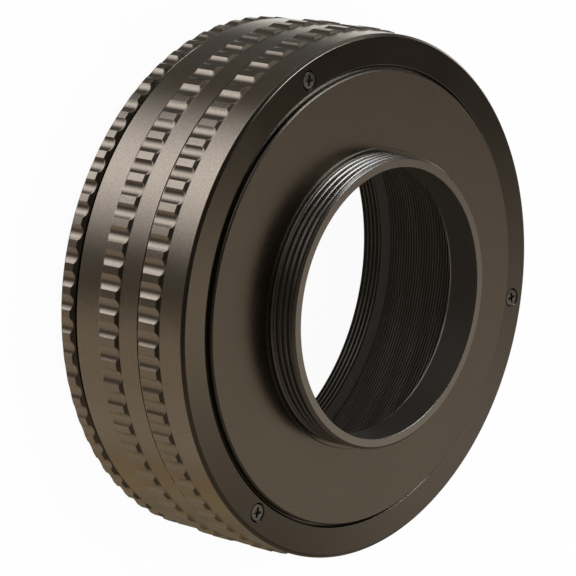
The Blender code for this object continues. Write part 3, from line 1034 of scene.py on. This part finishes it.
@dataclass
class FrontAssembly:
    """The front ring, the grooved barrel, the lens plate and the cover screws."""

    grip_length: float = 3.9 * MM
    edge_bevel: float = 0.42 * MM
    closer: float = 0.18 * MM
    cover: float = 1.1 * MM
    barrel_wall: float = 2.2 * MM
    flange_height: float = 0.95 * MM
    neck_bore: float = 19.4 * MM
    neck_radius: float = 21.0 * MM
    neck_height: float = 4.45 * MM
    neck_chamfer: float = 0.35 * MM
    foot_width: float = 0.6 * MM
    foot_height: float = 0.25 * MM
    plate_inset: float = 0.22 * MM
    plate_edge: float = 0.2 * MM
    plate_depth: float = 1.05 * MM
    plate_wall: float = 0.8 * MM
    rim_wall: float = 2.5 * MM
    screw_turns: tuple[float, ...] = (0.05, 0.45, 0.2)

    def build(self) -> list[bpy.types.Object]:
        """Build, dress and place the front body's pieces."""
        rings = [self.grip_ring(), self.barrel(), self.lens_plate()]
        return rings + make_screws("cover_screw", Body.FRONT, self.screw_turns)

    def grip_ring(self) -> bpy.types.Object:
        """Build the front ring with its cover face and screw seats.

        Returns:
            The finished ring.
        """
        low, top = heights_of("front_grip_ring")
        low -= self.closer
        outer = reach_of("front_grip_ring")
        band = outer - GRIP_HEIGHT
        shell = band - SHELL_WALL
        bore = reach_of("mount_flange") + RUNNING_GAP
        under = top - self.cover
        grip_top = low + self.closer + self.grip_length
        corners = [
            (bore, top),
            (band - self.edge_bevel, top),
            (band, top - self.edge_bevel),
            (band, grip_top),
            (outer, grip_top - GRIP_CHAMFER),
            (outer, low + GRIP_CHAMFER),
            (band, low),
            (shell, low),
            (shell, under),
            (bore, under),
        ]
        piece = Piece("front_grip_ring_skin", Body.FRONT, RING, "front_grip_ring")
        ring = GripRing(piece, corners, band, outer).build()
        carve(ring, [screw_seat(f"cover_screw_{n}", False) for n in (1, 2, 3)])
        return piece.settle(ring)

    def barrel(self) -> bpy.types.Object:
        """Build the front barrel with light-trapping grooves in its bore.

        Returns:
            The finished barrel.
        """
        low, top = heights_of("front_barrel")
        flange = reach_of("front_barrel")
        outer = reach_of("rear_mount_ring")
        bore = outer - self.barrel_wall
        flange_low = top - self.flange_height
        corners = [
            (flange, top),
            (flange, flange_low),
            (outer, flange_low),
            (outer, low),
            (bore, low),
            (bore, top),
        ]
        piece = Piece("front_barrel_skin", Body.FRONT, GROOVED, "front_barrel")
        barrel = TurnedRing(
            piece,
            corners,
            FINE_ROUNDING,
            columns=160,
            outer_thread=helicoid(low, flange_low, Hand.LEFT),
            inner_thread=Thread(0.5 * MM, 0.3 * MM, low, top, crest=0.25, root=0.3, runout=0.4),
            row_step=0.07 * MM,
        ).build()
        carve(barrel, key_slots(low - 1.0 * MM, flange_low - 0.3 * MM))
        return piece.settle(barrel)

    def lens_plate(self) -> bpy.types.Object:
        """Build the lens plate with its rim below and the threaded neck above.

        Returns:
            The finished plate.
        """
        low, top = heights_of("mount_flange")
        rim = reach_of("mount_flange")
        face = top - self.neck_height
        plate = rim - self.plate_inset
        step = face - self.plate_depth
        under = face - self.plate_wall
        bore = self.neck_bore
        neck = self.neck_radius
        foot = neck + self.foot_width
        corners = [
            (bore + 0.07 * MM, top),
            (neck - self.neck_chamfer, top),
            (neck, top - self.neck_chamfer),
            (neck, face + self.foot_height),
            (foot, face + self.foot_height),
            (foot, face),
            (plate - self.plate_edge, face),
            (plate, face - self.plate_edge),
            (plate, step),
            (rim, step),
            (rim, low),
            (rim - self.rim_wall, low),
            (rim - self.rim_wall, under),
            (bore + 0.25 * MM, under),
            (bore, under + 0.45 * MM),
            (bore, top - 0.1 * MM),
        ]
        ends = (face + 0.3 * MM, top + 0.6 * MM)
        linings = ((NECK, neck + 0.02 * MM), (MATT, bore + 0.03 * MM))
        piece = Piece("lens_plate_skin", Body.FRONT, PLATE, "mount_flange", linings)
        ring = TurnedRing(
            piece,
            corners,
            0.05 * MM,
            columns=320,
            outer_thread=Thread(1.0 * MM, 0.55 * MM, *ends, root=0.24, runout=0.5),
            row_step=0.04 * MM,
            sharp=60.0,
        )
        return piece.settle(ring.build())


def make_screws(stem: str, body: Body, turns: Sequence[float]) -> list[bpy.types.Object]:
    """Build one screw for each CAD node of a stem.

    Args:
        stem: The nodes' shared name.
        body: The body that the screws ride on.
        turns: How far each cross recess is turned, in radians.

    Returns:
        The finished screws.
    """
    made = []
    for number, turn in enumerate(turns, start=1):
        piece = Piece(f"{stem}_{number}_skin", body, SCREW, f"{stem}_{number}")
        made.append(piece.settle(CountersunkScrew(piece, turn).build()))
    return made


def screw_seat(node: str, head_down: bool) -> bpy.types.Object:
    """Make the cutter of a countersunk seat round a CAD screw, clear of it.

    Args:
        node: The screw's node.
        head_down: Whether the screw's head faces down.

    Returns:
        The closed cutter.
    """
    low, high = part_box(node)
    head = SCREW_HEAD_RADIUS + SEAT_CLEARANCE
    shank = SCREW_SHANK_RADIUS + SEAT_CLEARANCE
    line = np.array(
        [
            (0.0, SEAT_MOUTH),
            (head, SEAT_MOUTH),
            (head, 0.0),
            (shank, -SCREW_HEAD_HEIGHT),
            (shank, -SEAT_DEPTH),
            (0.0, -SEAT_DEPTH),
        ]
    )
    points = revolve(line[:, :1], line[:, 1:], round_azimuths(64))
    seat = wrap(node + "_seat", points, close_rows=False)
    level = low[2] if head_down else high[2]
    centre = Vector(((low[0] + high[0]) / 2.0, (low[1] + high[1]) / 2.0, level))
    flip = Matrix.Rotation(math.pi if head_down else 0.0, 4, "X")
    seat.data.transform(Matrix.Translation(centre) @ flip)
    return seat


def key_slots(low: float, high: float) -> list[bpy.types.Object]:
    """Make the cutters of the slots that the straight keys run in.

    Args:
        low: The slots' lower end.
        high: Their upper end.

    Returns:
        One closed box for each key.
    """
    centre = Vector(((SLOT_INNER_RADIUS + SLOT_OUTER_RADIUS) / 2.0, 0.0, (low + high) / 2.0))
    size = (SLOT_OUTER_RADIUS - SLOT_INNER_RADIUS, SLOT_WIDTH, high - low, 1.0)
    made = []
    for number in range(KEY_COUNT):
        azimuth = math.radians(KEY_AZIMUTH + 360.0 / KEY_COUNT * number)
        turn = Matrix.Rotation(azimuth, 4, "Z")
        placing = turn @ Matrix.Translation(centre) @ Matrix.Diagonal(size)
        shape = bmesh.new()
        bmesh.ops.create_cube(shape, size=1.0, matrix=placing)
        mesh = bpy.data.meshes.new(f"key_slot_{number + 1}")
        shape.to_mesh(mesh)
        shape.free()
        made.append(placed(mesh.name, mesh))
    return made


@dataclass
class InnerPieces:
    """The inner CAD pieces that keep their solids and get a finish."""

    finishes: dict[str, Metal] = field(
        default_factory=lambda: {
            "drive_nut": THREAD,
            "guide_ring": MATT,
            "stop_pin": STEEL,
            **{f"guide_key_{number}": BRASS for number in (1, 2, 3)},
        }
    )

    def dress(self) -> None:
        """Give every kept node its finish."""
        for name, finish in self.finishes.items():
            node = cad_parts[name]
            for slot in node.material_slots:
                slot.material = finish.material()
            LOG.info("%s: kept, finished in %s", name, finish.name)


@dataclass(frozen=True)
class Card:
    """A soft patch of the studio: a window on the white background, or a lamp.

    A window lets up to about 1 of the background through, and a lamp is
    stronger. Azimuth runs from the front, -Y, towards +X; the angles, half
    sizes and softness are in degrees.
    """

    azimuth: float
    elevation: float
    half_width: float
    half_height: float
    softness: float
    strength: float
    tint: tuple[float, float, float] = (1.0, 1.0, 1.0)


@dataclass
class Studio:
    """The pale floor, the soft light and the camera."""

    floor_half: float = 6.0
    floor_colour: tuple[float, float, float] = (0.92, 0.92, 0.92)
    floor_glow: float = 0.95
    camera_elevation: float = 39.925
    camera_roll: float = 101.676
    camera_distance: float = 0.5211
    camera_lens: float = 225.0
    camera_aim: tuple[float, float, float] = (0.0008, 0.0, 0.01017)
    shade: float = 0.06
    cards: tuple[Card, ...] = (
        Card(-15.0, -45.0, 113.0, 36.0, 18.0, 0.24),
        Card(61.0, -43.0, 34.0, 40.0, 8.0, 0.22, (0.57, 1.0, 1.6)),
        Card(80.0, -43.0, 50.0, 40.0, 12.0, 0.32, (1.15, 0.88, 0.50)),
        Card(93.0, -43.0, 68.0, 40.0, 12.0, 0.18, (1.15, 0.88, 0.50)),
        Card(-37.0, -40.0, 23.0, 45.0, 20.0, 4.4, (0.92, 1.03, 1.27)),
        Card(-153.0, -45.0, 18.0, 38.0, 14.0, 0.72, (1.0, 0.97, 0.90)),
        Card(-160.0, -45.0, 12.0, 38.0, 8.0, 0.6, (1.0, 0.97, 0.90)),
        Card(176.0, 62.0, 7.0, 38.0, 9.0, 1.20),
        Card(85.0, 40.0, 40.0, 50.0, 20.0, 0.15),
        Card(-95.0, 2.0, 30.0, 12.0, 8.0, 1.0, (0.94, 0.99, 1.06)),
        Card(-110.0, 42.0, 21.0, 10.0, 8.0, 13.0, (0.85, 1.06, 1.38)),
    )

    def build(self) -> None:
        """Make the floor, the world and the camera."""
        self.floor()
        self.world()
        self.camera()

    def floor(self) -> None:
        """Make the pale floor, which keeps the shadow and stays near white."""
        half = self.floor_half
        mesh = bpy.data.meshes.new("floor")
        corners = [(-half, -half, 0.0), (half, -half, 0.0), (half, half, 0.0), (-half, half, 0.0)]
        mesh.from_pydata(corners, [], [(0, 1, 2, 3)])
        floor = placed("floor", mesh)
        floor.visible_glossy = False
        floor.visible_shadow = False
        made = bpy.data.materials.new("floor")
        made.use_nodes = True
        sheet = Sheet(made.node_tree)
        paper = sheet.node("ShaderNodeBsdfDiffuse", None, {"Color": (*self.floor_colour, 1.0)})
        glow = sheet.node("ShaderNodeEmission", None, {"Color": WHITE, "Strength": 1.0})
        seen = sheet.value("ShaderNodeLightPath", output="Is Camera Ray")
        both = sheet.node(
            "ShaderNodeMixShader",
            None,
            {0: seen * self.floor_glow, 1: paper.outputs[0], 2: glow.outputs[0]},
        )
        sheet.node("ShaderNodeOutputMaterial", None, {0: both.outputs[0]})
        mesh.materials.append(made)

    def world(self) -> None:
        """Make the white background, and the soft cards that the metal mirrors.

        Every ray meets plain white at strength 1, but for the glossy rays of
        the metal, which meet the cards in front of a dim room.
        """
        world = bpy.data.worlds.new("studio")
        bpy.context.scene.world = world
        world.use_nodes = True
        sheet = Sheet(world.node_tree)
        towards = sheet.node("ShaderNodeTexCoord").outputs["Generated"]
        parts = sheet.node("ShaderNodeSeparateXYZ", None, {0: towards})
        x, y, z = (Value(sheet, parts.outputs[i]) for i in range(3))
        level = (x * x + y * y).math("SQRT").math("MAXIMUM", 0.0001)
        elevation = z.math("ARCSINE") * math.degrees(1.0)
        light = sheet.grey(self.shade)
        for card in self.cards:
            heading = math.radians(card.azimuth)
            facing = (x * math.sin(heading) - y * math.cos(heading)) / level
            across = facing.math("ARCCOSINE") * math.degrees(1.0)
            above = (elevation - card.elevation).math("ABSOLUTE")
            soft = card.softness
            inside = across.ramp(card.half_width + soft, card.half_width - soft)
            inside = inside * above.ramp(card.half_height + soft, card.half_height - soft)
            patch = sheet.node(
                "ShaderNodeVectorMath",
                {"operation": "SCALE"},
                {0: card.tint, "Scale": inside * card.strength},
            )
            light = sheet.node(
                "ShaderNodeVectorMath", {"operation": "ADD"}, {0: light, 1: patch.outputs[0]}
            ).outputs[0]
        glossy = sheet.value("ShaderNodeLightPath", output="Is Glossy Ray")
        colour = sheet.blend(glossy, WHITE, light)
        background = sheet.node("ShaderNodeBackground", None, {"Color": colour, "Strength": 1.0})
        sheet.node("ShaderNodeOutputWorld", None, {0: background.outputs[0]})

    def camera(self) -> None:
        """Stand the camera at the photograph's angle, rolled as it was."""
        lift = math.radians(self.camera_elevation)
        back = Vector((0.0, -math.cos(lift), math.sin(lift)))
        data = bpy.data.cameras.new("camera")
        data.lens = self.camera_lens
        data.sensor_width = 36.0
        data.clip_start = 0.01
        data.clip_end = 50.0
        camera = placed("camera", data)
        level = (-back).to_track_quat("-Z", "Y").to_matrix().to_4x4()
        roll = Matrix.Rotation(math.radians(self.camera_roll), 4, "Z")
        place = Vector(self.camera_aim) + back * self.camera_distance
        camera.matrix_world = Matrix.Translation(place) @ level @ roll
        bpy.context.scene.camera = camera


def main() -> None:
    """Build the studio and every piece, and report each through the log."""
    logging.basicConfig(level=logging.INFO, format="%(name)s: %(message)s")
    bpy.context.scene.view_settings.view_transform = "Standard"
    Studio().build()
    for assembly in (RearAssembly(), FocusAssembly(), FrontAssembly()):
        made = assembly.build()
        LOG.info("%s: %d pieces", type(assembly).__name__, len(made))
    InnerPieces().dress()


if __name__ == "__main__":
    main()
